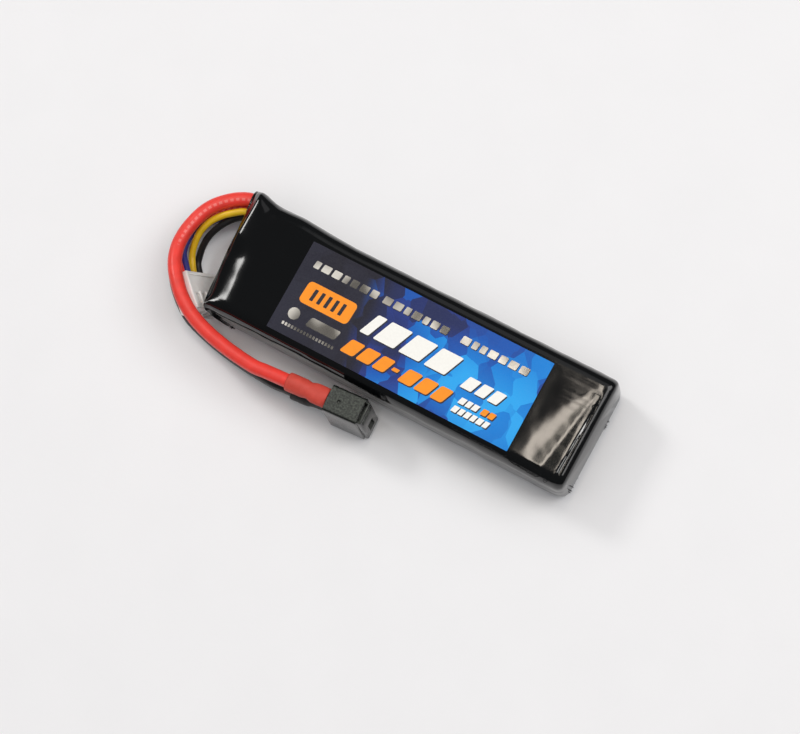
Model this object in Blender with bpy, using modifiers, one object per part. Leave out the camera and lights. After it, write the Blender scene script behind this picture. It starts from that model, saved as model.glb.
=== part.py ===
"""Three-cell lithium polymer battery pack with a T-plug and a balance plug.

The pack lies flat. Its leads leave the left end (-X) at the far corner (+Y), curve round in front of that
end and run back along the near side (-Y) to the T-plug, which stands on its narrow side. The balance plug
leans between the main leads and the lead end of the pack.

Frame: +X along the pack towards its plain end, +Y across it, +Z up. The origin is the middle of the pack's
underside, leads and plugs not counted. Lengths are metres; MM turns millimetres into metres.
"""

import math

import bmesh
import bpy
from mathutils import Matrix, Vector

MM = 0.001
GAP = 0.3 * MM  # kept between pieces that touch

# ---- The pack ----------------------------------------------------------------------------------------
PLAIN_END_X = 50.85 * MM
LEAD_END_X = -48.4 * MM  # the wrap's end face, above its undercut
MOUTH_X = -50.85 * MM  # the rim that the leads come out of
NEAR_Y = -15.95 * MM
FAR_Y = 14.05 * MM
MOUTH_LOW = (7.2 * MM, 3.0 * MM)  # the mouth's near and far corners, as (y, z)
MOUTH_HIGH = (15.95 * MM, 12.8 * MM)
MOUTH_CORNER = 3.2 * MM
MOUTH_SLANT = 0.15
PACK_HEIGHT = 16.8 * MM
PACK_MIDDLE_Y = (NEAR_Y + FAR_Y) / 2
WRAP_WALL = 0.2 * MM
WRAP_CORNER = 2.8
WRAP_UNDERCUT = 5.0 * MM  # how far the lead end is drawn in under its top edge
UNDERCUT_HEIGHT = 12.0 * MM

LABEL_START_X = -29.9 * MM
LABEL_LENGTH = 65.4 * MM
LABEL_NEAR_Y = -13.3 * MM
LABEL_WIDTH = 23.4 * MM
LABEL_THICKNESS = 0.1 * MM

# ---- The cells and what joins them ------------------------------------------------------------------
CELL_THICKNESS = 4.6 * MM
CELL_WIDTH = 27.6 * MM
CELL_END_X = 48.6 * MM
CELL_START_X = -28.5 * MM
CELL_BEVEL = 1.8 * MM
TERRACE_LENGTH = 5.5 * MM
TERRACE_THICKNESS = 0.5 * MM
FIRST_CELL_Z = 0.6 * MM
PAD_THICKNESS = 0.3 * MM
CELL_PITCH = CELL_THICKNESS + PAD_THICKNESS + 2 * GAP
TAB_WIDTH = 5.0 * MM
TAB_THICKNESS = 0.2 * MM
TAB_OFFSET_Y = 6.5 * MM
TAB_FOLD = 2.4 * MM
SEAL_THICKNESS = 0.15 * MM
SEAL_LENGTH = 1.6 * MM
BOARD_X = -40.5 * MM
BOARD_THICKNESS = 1.0 * MM
BOARD_WIDTH = 25.0 * MM
BOARD_BOTTOM_Z = 1.6 * MM
BOARD_TOP_Z = 15.2 * MM
TAPE_THICKNESS = 0.08 * MM
TAPE_WIDTH = 8.0 * MM
TAPE_CENTRES_X = (-14.0 * MM, 36.0 * MM)
END_PAD_THICKNESS = 1.0 * MM

# ---- The leads --------------------------------------------------------------------------------------
MAIN_LEAD = 3.5 * MM
BALANCE_LEAD = 1.75 * MM
SOLDER_GAP = 1.0 * MM  # bare wire between a solder joint and where the lead's insulation starts

# Each route is a few points in millimetres, from the board to the plug.
POSITIVE_ROUTE = (
    (-43.4, 11.4, 10.0), (-44.6, 11.6, 10.0), (-47.2, 12.9, 10.1), (-50.7, 13.35, 10.2),
    (-54.5, 11.6, 10.5), (-58.0, 8.3, 10.9), (-59.9, 4.9, 11.4), (-60.9, 0.6, 12.0),
    (-61.0, -3.0, 12.7), (-60.3, -6.4, 13.6), (-58.6, -9.9, 14.5), (-55.8, -13.3, 15.1),
    (-52.3, -16.5, 15.2), (-48.0, -19.1, 14.9), (-42.5, -21.0, 14.5), (-36.0, -22.3, 14.1),
    (-29.0, -23.0, 13.8),
)
NEGATIVE_ROUTE = (
    (-43.4, 11.2, 5.6), (-44.6, 11.4, 5.6), (-47.6, 13.2, 5.6), (-51.2, 13.5, 5.6),
    (-55.6, 12.0, 5.2), (-60.0, 8.7, 4.6), (-62.6, 5.2, 4.0), (-63.9, 1.4, 3.4),
    (-64.3, -2.0, 2.8), (-64.0, -5.4, 2.3), (-62.6, -9.0, 2.0), (-60.2, -12.4, 1.9),
    (-56.8, -15.6, 1.9), (-52.6, -18.4, 1.9), (-47.0, -20.2, 2.1), (-40.0, -21.7, 2.7),
    (-32.0, -22.7, 3.8),
)
BALANCE_ROUTES = {
    "red": (
        (-43.4, 7.8, 8.0), (-44.6, 8.0, 8.0), (-47.4, 10.8, 8.0), (-50.8, 11.6, 8.0),
        (-54.6, 9.9, 8.1), (-57.4, 7.4, 8.2), (-59.9, 4.2, 8.5), (-61.5, 1.2, 8.8),
        (-62.0, -1.8, 9.2), (-61.6, -4.8, 9.6), (-60.8, -7.2, 10.0),
    ),
    "blue": (
        (-43.4, 6.0, 5.8), (-44.6, 6.1, 5.8), (-47.4, 8.6, 5.8), (-50.6, 9.6, 5.9),
        (-54.2, 8.4, 5.9), (-57.2, 6.2, 6.0), (-59.6, 3.6, 6.2), (-61.0, 0.8, 6.6),
        (-61.4, -2.2, 7.1), (-60.8, -4.8, 7.6), (-59.9, -6.5, 7.9),
    ),
    "yellow": (
        (-43.4, 6.2, 10.4), (-44.6, 6.7, 10.4), (-46.4, 8.5, 10.4), (-48.5, 9.95, 10.4),
        (-50.9, 9.9, 10.4), (-53.4, 8.4, 10.2), (-55.9, 6.4, 9.8), (-57.9, 3.9, 9.3),
        (-59.0, 1.2, 8.6), (-59.3, -1.6, 7.6), (-59.0, -4.2, 6.5), (-58.2, -6.2, 5.8),
    ),
    "black": (
        (-43.4, 5.2, 8.4), (-44.6, 5.6, 8.4), (-46.1, 7.0, 8.4), (-47.9, 8.5, 8.4),
        (-50.2, 9.1, 8.4), (-52.6, 8.0, 8.3), (-54.8, 5.6, 8.0), (-56.5, 2.8, 7.2),
        (-57.5, 0.2, 6.1), (-57.8, -2.4, 4.9), (-57.6, -4.6, 3.9), (-57.2, -6.1, 3.5),
    ),
}

# ---- The T-plug, in its own frame: a towards its mating face, b across, c up ---------------------------
T_PLUG_CORNER = Vector((-8.35, -22.35, 0.0)) * MM
T_PLUG_YAW = math.radians(3.9)
T_PLUG_LEAN = math.radians(-3.4)
T_BODY_LENGTH = 8.9 * MM
T_BODY_WIDTH = 6.8 * MM
T_FACE_LENGTH = 1.1 * MM
T_HEIGHT = 16.0 * MM
SLOT_WIDTH = 4.6 * MM
SLOT_HEIGHT = 2.2 * MM
SLOT_DEPTH = 9.0 * MM
CONTACT_THICKNESS = 0.5 * MM
CONTACT_WIDTH = 3.6 * MM
CONTACT_TAIL = 5.4 * MM
SPRING_THICKNESS = 0.15 * MM
SPRING_WIDTH = 3.2 * MM
# Each contact's place in the housing: its height, and its turn about the plug's axis.
CONTACTS = {"positive": (13.5 * MM, 0.0), "negative": (5.2 * MM, math.radians(90))}
SLEEVE_LENGTH = 11.0 * MM
SLEEVE_WALL = 0.3 * MM
LEAD_END_A = -6.6 * MM  # where the main leads' insulation stops, behind the housing

# ---- The balance plug, in its own frame: a towards its mating face, b down its width, c out of its face ----
BALANCE_CORNER = Vector((-55.6, -10.0, 13.75)) * MM
BALANCE_YAW = math.radians(-42)
BALANCE_LEAN = math.radians(65.4)
BALANCE_LENGTH = 9.8 * MM
BALANCE_WIDTH = 12.4 * MM
BALANCE_THICKNESS = 5.75 * MM
PIN_PITCH = 2.5 * MM
FIRST_PIN = (BALANCE_WIDTH - 3 * PIN_PITCH) / 2
PIN_CAVITY = 1.9 * MM
CRIMP_LENGTH = 6.0 * MM

COLOURS = {
    "wrap_black": ((0.012, 0.013, 0.014), 0.12, 0.0),
    "label_print": ((0.03, 0.12, 0.45), 0.35, 0.0),
    "pouch_silver": ((0.55, 0.56, 0.58), 0.35, 0.9),
    "foam_white": ((0.8, 0.8, 0.78), 0.8, 0.0),
    "aluminium_tab": ((0.75, 0.76, 0.78), 0.35, 1.0),
    "nickel_tab": ((0.6, 0.57, 0.52), 0.3, 1.0),
    "seal_clear": ((0.75, 0.75, 0.7), 0.4, 0.0),
    "board_green": ((0.02, 0.16, 0.06), 0.45, 0.0),
    "card_blue": ((0.1, 0.2, 0.3), 0.8, 0.0),
    "tape_amber": ((0.55, 0.28, 0.04), 0.25, 0.0),
    "solder": ((0.7, 0.7, 0.7), 0.25, 1.0),
    "lead_red": ((0.62, 0.03, 0.025), 0.4, 0.0),
    "lead_black": ((0.015, 0.015, 0.016), 0.4, 0.0),
    "lead_blue": ((0.05, 0.06, 0.32), 0.4, 0.0),
    "lead_yellow": ((0.72, 0.48, 0.02), 0.4, 0.0),
    "sleeve_red": ((0.62, 0.1, 0.07), 0.6, 0.0),
    "sleeve_black": ((0.02, 0.02, 0.02), 0.6, 0.0),
    "plug_black": ((0.05, 0.055, 0.05), 0.5, 0.0),
    "contact_gold": ((0.83, 0.6, 0.25), 0.25, 1.0),
    "spring_steel": ((0.6, 0.6, 0.6), 0.3, 1.0),
    "plug_white": ((0.82, 0.8, 0.76), 0.5, 0.0),
    "contact_tin": ((0.65, 0.65, 0.66), 0.3, 1.0),
}


def collection(name):
    made = bpy.data.collections.new(name)
    bpy.context.scene.collection.children.link(made)
    return made


for old in list(bpy.data.objects):
    bpy.data.objects.remove(old)
PARTS = collection("lipo_battery_pack")
CUTTERS = collection("cutters")


def material(name):
    made = bpy.data.materials.get(name)
    if made is None:
        made = bpy.data.materials.new(name)
        made.use_nodes = True
        colour, roughness, metallic = COLOURS[name]
        shader = made.node_tree.nodes["Principled BSDF"]
        shader.inputs["Base Color"].default_value = (*colour, 1.0)
        shader.inputs["Roughness"].default_value = roughness
        shader.inputs["Metallic"].default_value = metallic
    return made


def add(name, bm, look=None, smooth_angle=None):
    """Makes an object from a bmesh. A piece with no look is a cutter."""
    bmesh.ops.recalc_face_normals(bm, faces=bm.faces)
    mesh = bpy.data.meshes.new(name)
    bm.to_mesh(mesh)
    bm.free()
    piece = bpy.data.objects.new(name, mesh)
    if look is None:
        CUTTERS.objects.link(piece)
        piece.hide_render = True
        piece.display_type = "WIRE"
    else:
        PARTS.objects.link(piece)
        mesh.materials.append(material(look))
    if smooth_angle:
        mesh.shade_smooth()
        mesh.set_sharp_from_angle(angle=math.radians(smooth_angle))
    return piece


def box(name, low, high, look=None, place=None, bevel=0.0):
    """A box between two corners, in the frame that place gives."""
    low, high = Vector(low), Vector(high)
    bm = bmesh.new()
    bmesh.ops.create_cube(bm, size=1.0)
    bmesh.ops.scale(bm, vec=high - low, verts=bm.verts)
    bmesh.ops.translate(bm, vec=(low + high) / 2, verts=bm.verts)
    piece = add(name, bm, look)
    if place is not None:
        piece.matrix_world = place
    if bevel:
        add_bevel(piece, bevel)
    return piece


def add_bevel(piece, width, segments=2):
    modifier = piece.modifiers.new("rounded_edges", "BEVEL")
    modifier.width = width
    modifier.segments = segments
    modifier.limit_method = "ANGLE"


def boolean(piece, other, operation="DIFFERENCE"):
    modifier = piece.modifiers.new(other.name, "BOOLEAN")
    modifier.operation = operation
    modifier.solver = "EXACT"
    modifier.object = other


def smooth_points(route, spacing):
    """Points at even spacing along a Catmull-Rom curve through the route's points."""
    knots = [Vector(point) for point in route]
    ends = [2 * knots[0] - knots[1], *knots, 2 * knots[-1] - knots[-2]]
    fine = []
    steps = 24
    for before, start, end, after in zip(ends, ends[1:], ends[2:], ends[3:]):
        for step in range(steps):
            t = step / steps
            fine.append(
                0.5 * (2 * start + (end - before) * t
                       + (2 * before - 5 * start + 4 * end - after) * t**2
                       + (3 * start - before - 3 * end + after) * t**3)
            )
    fine.append(knots[-1])
    lengths = [0.0]
    for first, second in zip(fine, fine[1:]):
        lengths.append(lengths[-1] + (second - first).length)
    count = max(2, round(lengths[-1] / spacing))
    points = []
    index = 0
    for step in range(count + 1):
        wanted = lengths[-1] * step / count
        while index < len(lengths) - 2 and lengths[index + 1] < wanted:
            index += 1
        share = (wanted - lengths[index]) / (lengths[index + 1] - lengths[index])
        points.append(fine[index].lerp(fine[index + 1], share))
    return points


def tube(name, route, diameter, look):
    """A round lead along a route given in metres."""
    curve = bpy.data.curves.new(name, "CURVE")
    curve.dimensions = "3D"
    curve.bevel_depth = diameter / 2
    curve.bevel_resolution = 2
    curve.use_fill_caps = True
    points = smooth_points(route, 2 * diameter)
    spline = curve.splines.new("POLY")
    spline.points.add(len(points) - 1)
    for point, place in zip(spline.points, points):
        point.co = (*place, 1.0)
    curve.materials.append(material(look))
    piece = bpy.data.objects.new(name, curve)
    PARTS.objects.link(piece)
    return piece


def rounded_ring(low, high, corner, arc_steps=5):
    """A rounded rectangle's outline as (y, z) pairs, anticlockwise as seen from +X."""
    corner = min(corner, (high[0] - low[0]) / 2 * 0.999, (high[1] - low[1]) / 2 * 0.999)
    centres = (
        (high[0] - corner, high[1] - corner, 0), (low[0] + corner, high[1] - corner, 90),
        (low[0] + corner, low[1] + corner, 180), (high[0] - corner, low[1] + corner, 270),
    )
    outline = []
    for y, z, start in centres:
        for step in range(arc_steps + 1):
            angle = math.radians(start + 90 * step / arc_steps)
            outline.append((y + corner * math.cos(angle), z + corner * math.sin(angle)))
    return outline


def loft(rings, close_start=False, close_end=False):
    """A skin through rings of the same number of points."""
    bm = bmesh.new()
    loops = [[bm.verts.new(point) for point in ring] for ring in rings]
    for first, second in zip(loops, loops[1:]):
        for index in range(len(first)):
            following = (index + 1) % len(first)
            bm.faces.new((first[index], first[following], second[following], second[index]))
    if close_start:
        bm.faces.new(loops[0])
    if close_end:
        bm.faces.new(loops[-1])
    return bm


def ease(value):
    """Rises smoothly from 0 to 1 as value does."""
    value = min(1.0, max(0.0, value))
    return value * value * (3 - 2 * value)


def undercut(x, y, z):
    """Draws the lead end in under its top edge, away from the mouth."""
    along = 1 - ease((x + 46 * MM) / (12 * MM))
    across = 1 - ease((y + 1 * MM) / (7 * MM))
    down = max(0.0, 1 - z / UNDERCUT_HEIGHT)
    return x + WRAP_UNDERCUT * along * across * down


# ---- Shrink wrap and label ----------------------------------------------------------------------------
def make_wrap():
    """The heat-shrunk sleeve: a collar round the leads, the lead end, the flat body and the closed end."""
    rings = []
    for x in (MOUTH_X, MOUTH_X + 0.8 * MM):
        outline = rounded_ring(MOUTH_LOW, MOUTH_HIGH, MOUTH_CORNER)
        rings.append([(x + MOUTH_SLANT * (MOUTH_HIGH[0] - y), y, z) for y, z in outline])
    # x, how far the far side stands out, how far the section is drawn in, and its corner radius
    stations = (
        (LEAD_END_X, 1.85, 1.2, 2.2),
        (LEAD_END_X + 0.6 * MM, 1.9, 0.45, 2.6),
        (-46.4 * MM, 1.7, 0.1, WRAP_CORNER),
        (-44.8 * MM, 1.1, 0.0, WRAP_CORNER),
        (-43.0 * MM, 0.6, 0.0, WRAP_CORNER),
        (-40.0 * MM, 0.7, 0.0, WRAP_CORNER),
        (-35.0 * MM, 0.9, 0.0, WRAP_CORNER),
        (-28.0 * MM, 0.3, 0.0, WRAP_CORNER),
        (-20.0 * MM, 0.0, 0.0, WRAP_CORNER),
        (10.0 * MM, 0.0, 0.0, WRAP_CORNER),
        (PLAIN_END_X - 3.0 * MM, 0.0, 0.0, WRAP_CORNER),
        (PLAIN_END_X - 1.2 * MM, 0.0, 0.2, WRAP_CORNER),
        (PLAIN_END_X - 0.3 * MM, -0.6, 0.8, 2.2),
        (PLAIN_END_X, -1.6, 1.8, 1.6),
    )
    for x, bulge, inset, corner in stations:
        low = (NEAR_Y + inset * MM, min(inset, 0.8) * MM)
        high = (FAR_Y + bulge * MM, PACK_HEIGHT - inset * MM)
        rings.append([(undercut(x, y, z), y, z) for y, z in rounded_ring(low, high, corner * MM)])
    wrap = add("shrink_wrap", loft(rings, close_end=True), "wrap_black", smooth_angle=50)
    wall = wrap.modifiers.new("wall", "SOLIDIFY")
    wall.thickness = WRAP_WALL
    wall.offset = -1.0


def make_label():
    box(
        "label",
        (LABEL_START_X, LABEL_NEAR_Y, PACK_HEIGHT + 0.02 * MM),
        (LABEL_START_X + LABEL_LENGTH, LABEL_NEAR_Y + LABEL_WIDTH, PACK_HEIGHT + 0.02 * MM + LABEL_THICKNESS),
        "label_print",
    )


# ---- Cells, tabs, board --------------------------------------------------------------------------------
def make_cells():
    """Three pouch cells with adhesive pads between them. Each pouch ends in a thin sealed terrace."""
    for index, level in enumerate(("lower", "middle", "upper")):
        bottom = FIRST_CELL_Z + index * CELL_PITCH
        middle = bottom + CELL_THICKNESS / 2
        side = CELL_WIDTH / 2
        cell = box(
            f"cell_{level}", (CELL_START_X, PACK_MIDDLE_Y - side, bottom),
            (CELL_END_X, PACK_MIDDLE_Y + side, bottom + CELL_THICKNESS), "pouch_silver", bevel=CELL_BEVEL,
        )
        terrace = box(
            f"terrace_{level}", (CELL_START_X - TERRACE_LENGTH, PACK_MIDDLE_Y - side + 1 * MM,
                                 middle - TERRACE_THICKNESS / 2),
            (CELL_START_X + 1 * MM, PACK_MIDDLE_Y + side - 1 * MM, middle + TERRACE_THICKNESS / 2),
        )
        boolean(cell, terrace, "UNION")
        make_tabs(level, middle, flip=index == 1)
        if index < 2:
            pad_bottom = bottom + CELL_THICKNESS + GAP
            box(
                f"cell_pad_{level}", (CELL_START_X + 4 * MM, PACK_MIDDLE_Y - side + 2 * MM, pad_bottom),
                (CELL_END_X - 4 * MM, PACK_MIDDLE_Y + side - 2 * MM, pad_bottom + PAD_THICKNESS), "foam_white",
            )
    box(
        "end_pad", (CELL_END_X + GAP, PACK_MIDDLE_Y - 12 * MM, 2.4 * MM),
        (CELL_END_X + GAP + END_PAD_THICKNESS, PACK_MIDDLE_Y + 12 * MM, 14.2 * MM), "foam_white",
    )


def make_tabs(level, middle, flip):
    """A cell's two tabs: each runs from the terrace to the board and is folded down along its face.

    The middle cell lies the other way up, so that its tabs meet the neighbours' opposite poles.
    """
    terrace_end = CELL_START_X - TERRACE_LENGTH
    board_face = BOARD_X + BOARD_THICKNESS / 2
    poles = (("positive", 1), ("negative", -1))
    for pole, side in poles:
        centre_y = PACK_MIDDLE_Y + TAB_OFFSET_Y * side * (-1 if flip else 1)
        low_y, high_y = centre_y - TAB_WIDTH / 2, centre_y + TAB_WIDTH / 2
        bottom, top = middle - TAB_THICKNESS / 2, middle + TAB_THICKNESS / 2
        inner, outer = board_face + GAP, board_face + GAP + TAB_THICKNESS
        profile = (
            (terrace_end - GAP, bottom), (terrace_end - GAP, top), (inner, top), (inner, top - TAB_FOLD),
            (outer, top - TAB_FOLD), (outer, bottom),
        )
        look = "aluminium_tab" if pole == "positive" else "nickel_tab"
        extrude_profile(f"{pole}_tab_{level}", profile, low_y, high_y, look)
        seal_bottom = middle + TERRACE_THICKNESS / 2 + GAP / 2
        box(
            f"tab_seal_{level}_{pole}", (terrace_end + 0.2 * MM, low_y - 0.6 * MM, seal_bottom),
            (terrace_end + 0.2 * MM + SEAL_LENGTH, high_y + 0.6 * MM, seal_bottom + SEAL_THICKNESS),
            "seal_clear",
        )


def extrude_profile(name, profile, low_y, high_y, look):
    """A prism across the pack from an outline of (x, z) points."""
    bm = bmesh.new()
    face = bm.faces.new([bm.verts.new((x, low_y, z)) for x, z in profile])
    grown = bmesh.ops.extrude_face_region(bm, geom=[face])
    moved = [item for item in grown["geom"] if isinstance(item, bmesh.types.BMVert)]
    bmesh.ops.translate(bm, vec=(0, high_y - low_y, 0), verts=moved)
    return add(name, bm, look)


def make_board():
    """The junction board that links the cells in series, its solder joints and its cover card."""
    board = box(
        "junction_board", (BOARD_X - BOARD_THICKNESS / 2, PACK_MIDDLE_Y - BOARD_WIDTH / 2, BOARD_BOTTOM_Z),
        (BOARD_X + BOARD_THICKNESS / 2, PACK_MIDDLE_Y + BOARD_WIDTH / 2, BOARD_TOP_Z), "board_green",
    )
    add_bevel(board, 0.4 * MM, 1)
    joints = {"main_positive": POSITIVE_ROUTE, "main_negative": NEGATIVE_ROUTE}
    joints.update({f"balance_{colour}": route for colour, route in BALANCE_ROUTES.items()})
    for name, route in joints.items():
        radius = (1.5 if name.startswith("main") else 0.8) * MM
        dome(f"solder_{name}", Vector(route[0]) * MM, radius)
    box(
        "board_card", (BOARD_X - 4.6 * MM, -13.0 * MM, 5.0 * MM), (BOARD_X - 4.4 * MM, 0.2 * MM, 14.0 * MM),
        "card_blue",
    )


def dome(name, lead_start, radius):
    """A solder joint: a domed cone from the board's outer face to just short of the lead's end."""
    base_x = BOARD_X - BOARD_THICKNESS / 2 - GAP
    height = base_x - (lead_start.x + SOLDER_GAP)
    bm = bmesh.new()
    place = Matrix.Translation((base_x - height / 2, lead_start.y, lead_start.z)) @ Matrix.Rotation(
        math.radians(-90), 4, "Y"
    )
    bmesh.ops.create_cone(
        bm, cap_ends=True, segments=14, radius1=radius, radius2=radius * 0.6, depth=height, matrix=place
    )
    add(name, bm, "solder", smooth_angle=40)


def make_tape():
    """Two bands of polyimide tape round the stack of cells."""
    side = CELL_WIDTH / 2 + 0.4 * MM
    bottom = FIRST_CELL_Z - 0.3 * MM
    top = FIRST_CELL_Z + 2 * CELL_PITCH + CELL_THICKNESS + 0.2 * MM
    for name, centre_x in zip(("tape_band_lead_end", "tape_band_plain_end"), TAPE_CENTRES_X):
        outline = rounded_ring((PACK_MIDDLE_Y - side, bottom), (PACK_MIDDLE_Y + side, top), 2.0 * MM)
        ends = (centre_x - TAPE_WIDTH / 2, centre_x + TAPE_WIDTH / 2)
        band = add(name, loft([[(x, y, z) for y, z in outline] for x in ends]), "tape_amber")
        wall = band.modifiers.new("wall", "SOLIDIFY")
        wall.thickness = TAPE_THICKNESS
        wall.offset = -1.0


# ---- T-plug -----------------------------------------------------------------------------------------------
def t_plug_frame():
    """The T-plug's frame. It leans a little, so it is lifted until its lowest edge meets the ground."""
    lift = T_BODY_WIDTH / 2 * math.sin(abs(T_PLUG_LEAN)) + 0.02 * MM
    place = Matrix.Translation(T_PLUG_CORNER + Vector((0, 0, lift)))
    return place @ Matrix.Rotation(T_PLUG_YAW, 4, "Z") @ Matrix.Rotation(T_PLUG_LEAN, 4, "X")


def contact_frame(pole):
    """A contact's frame: a along the plug, b across the contact, c through its thickness."""
    height, turn = CONTACTS[pole]
    return t_plug_frame() @ Matrix.Translation((0, 0, height)) @ Matrix.Rotation(turn, 4, "X")


def make_t_plug():
    place = t_plug_frame()
    side = T_BODY_WIDTH / 2
    housing = box(
        "t_plug_housing", (0, -side, 0), (T_BODY_LENGTH, side, T_HEIGHT), "plug_black", place, bevel=0.35 * MM
    )
    front = box(
        "t_plug_front", (T_BODY_LENGTH - 1 * MM, -side + 0.5 * MM, 0.3 * MM),
        (T_BODY_LENGTH + T_FACE_LENGTH, side - 0.5 * MM, T_HEIGHT - 0.6 * MM), None, place, bevel=0.5 * MM,
    )
    boolean(housing, front, "UNION")
    for pole in CONTACTS:
        slot = box(
            f"slot_{pole}", (T_BODY_LENGTH + T_FACE_LENGTH - SLOT_DEPTH, -SLOT_WIDTH / 2, -SLOT_HEIGHT / 2),
            (T_BODY_LENGTH + 3 * MM, SLOT_WIDTH / 2, SLOT_HEIGHT / 2), None, contact_frame(pole),
        )
        tail = box(
            f"tail_hole_{pole}", (-1 * MM, -CONTACT_WIDTH / 2 - GAP, -SLOT_HEIGHT / 2 + 0.05 * MM),
            (3 * MM, CONTACT_WIDTH / 2 + GAP, -SLOT_HEIGHT / 2 + CONTACT_THICKNESS + 0.6 * MM), None,
            contact_frame(pole),
        )
        boolean(housing, slot)
        boolean(housing, tail)
        make_contact(pole)


def make_contact(pole):
    """A blade contact with its solder tail, the leaf spring facing it, and the sleeve behind."""
    place = contact_frame(pole)
    bottom = -SLOT_HEIGHT / 2 + GAP
    contact = box(
        f"t_plug_contact_{pole}", (-CONTACT_TAIL, -CONTACT_WIDTH / 2 + 0.3 * MM, bottom),
        (T_BODY_LENGTH - 0.6 * MM, CONTACT_WIDTH / 2 - 0.3 * MM, bottom + CONTACT_THICKNESS),
        "contact_gold", place,
    )
    add_bevel(contact, 0.12 * MM, 1)
    make_spring(pole, place)
    solder = box(
        f"t_plug_solder_{pole}", (-CONTACT_TAIL - 0.4 * MM, -1.1 * MM, bottom + CONTACT_THICKNESS + GAP / 2),
        (-0.8 * MM, 1.1 * MM, 1.1 * MM), "solder", place,
    )
    add_bevel(solder, 0.5 * MM, 2)
    make_sleeve(pole, place)


def make_spring(pole, place):
    """The leaf spring. It bows towards the contact, and its origin is at its root, on its joint's axis."""
    root = Vector((1.6 * MM, 0, 0.5 * MM))
    line = ((0.0, 0.0), (1.0, 0.0), (2.4, -0.22), (3.8, -0.34), (5.2, -0.22), (6.4, 0.06))
    half = SPRING_THICKNESS / 2
    outline = [(a * MM, c * MM + half) for a, c in line]
    outline += [(a * MM, c * MM - half) for a, c in reversed(line)]
    bm = bmesh.new()
    face = bm.faces.new([bm.verts.new((a, -SPRING_WIDTH / 2, c)) for a, c in outline])
    grown = bmesh.ops.extrude_face_region(bm, geom=[face])
    moved = [item for item in grown["geom"] if isinstance(item, bmesh.types.BMVert)]
    bmesh.ops.translate(bm, vec=(0, SPRING_WIDTH, 0), verts=moved)
    spring = add(f"contact_spring_{pole}", bm, "spring_steel")
    spring.matrix_world = place @ Matrix.Translation(root)


def make_sleeve(pole, place):
    """The heat-shrink sleeve: round over the lead, flatter over the contact's tail."""
    # a, half width across the contact, half height through it
    stations = ((-SLEEVE_LENGTH, 2.35, 2.35), (-6.4 * MM, 2.35, 2.35), (-5.2 * MM, 2.4, 2.0),
                (-4.4 * MM, 2.4, 1.8), (-GAP, 2.4, 1.8))
    rings = []
    for a, half_width, half_height in stations:
        turns = [2 * math.pi * step / 18 for step in range(18)]
        rings.append([(a, half_width * MM * math.cos(t), half_height * MM * math.sin(t)) for t in turns])
    colour = "red" if pole == "positive" else "black"
    sleeve = add(f"heat_shrink_{colour}", loft(rings), f"sleeve_{colour}", smooth_angle=60)
    sleeve.matrix_world = place
    wall = sleeve.modifiers.new("wall", "SOLIDIFY")
    wall.thickness = SLEEVE_WALL
    wall.offset = -1.0


# ---- Balance plug -------------------------------------------------------------------------------------------
def balance_frame():
    """The balance plug's frame: it stands on its narrow side and leans on the main leads."""
    place = Matrix.Translation(BALANCE_CORNER) @ Matrix.Rotation(BALANCE_YAW, 4, "Z")
    return place @ Matrix.Rotation(-BALANCE_LEAN, 4, "X")


def make_balance_plug():
    """The housing has a cavity for each crimp contact, open at both ends, and a window over each."""
    place = balance_frame()
    housing = box(
        "balance_plug_housing", (0, 0, -BALANCE_THICKNESS), (BALANCE_LENGTH, BALANCE_WIDTH, 0),
        "plug_white", place, bevel=0.3 * MM,
    )
    middle = -BALANCE_THICKNESS / 2
    for pin in range(len(BALANCE_ROUTES)):
        centre = FIRST_PIN + pin * PIN_PITCH
        cavity = box(
            f"cavity_{pin + 1}", (-1 * MM, centre - PIN_CAVITY / 2, middle - PIN_CAVITY / 2),
            (BALANCE_LENGTH + 1 * MM, centre + PIN_CAVITY / 2, middle + PIN_CAVITY / 2), None, place,
        )
        window = box(
            f"window_{pin + 1}", (5.4 * MM, centre - 0.55 * MM, middle), (8.4 * MM, centre + 0.55 * MM, 1 * MM),
            None, place,
        )
        boolean(housing, cavity)
        boolean(housing, window)
        contact = box(
            f"balance_contact_{pin + 1}", (2.2 * MM, centre - 0.6 * MM, middle - 0.6 * MM),
            (2.2 * MM + CRIMP_LENGTH, centre + 0.6 * MM, middle + 0.6 * MM), "contact_tin", place,
        )
        add_bevel(contact, 0.15 * MM, 1)


# ---- Leads ----------------------------------------------------------------------------------------------------
def lead_end(pole):
    """The last stretch of a main lead's route: along the plug's axis into its sleeve."""
    place = contact_frame(pole)
    return [place @ Vector((a, 0, 0)) for a in (-17.0 * MM, -13.8 * MM, -10.2 * MM, LEAD_END_A)]


def make_leads():
    routes = {"positive": (POSITIVE_ROUTE, "lead_red"), "negative": (NEGATIVE_ROUTE, "lead_black")}
    for pole, (route, look) in routes.items():
        tube(f"main_lead_{pole}", [Vector(point) * MM for point in route] + lead_end(pole), MAIN_LEAD, look)
    place = balance_frame()
    for pin, (colour, route) in enumerate(BALANCE_ROUTES.items()):
        across = FIRST_PIN + pin * PIN_PITCH
        inside = [place @ Vector((a, across, -BALANCE_THICKNESS / 2)) for a in (-1.6 * MM, 0.4 * MM, 1.9 * MM)]
        tube(f"balance_lead_{colour}", [Vector(point) * MM for point in route] + inside, BALANCE_LEAD,
             f"lead_{colour}")


make_wrap()
make_label()
make_cells()
make_board()
make_tape()
make_t_plug()
make_balance_plug()
make_leads()
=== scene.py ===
"""Looks for the three-cell battery pack: wrap, label, leads and plugs, with the camera and studio light.

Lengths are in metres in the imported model's frame; MM turns millimetres into metres.
"""

import math
import random

import bmesh
import bpy
from mathutils import Matrix, Vector, noise


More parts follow.
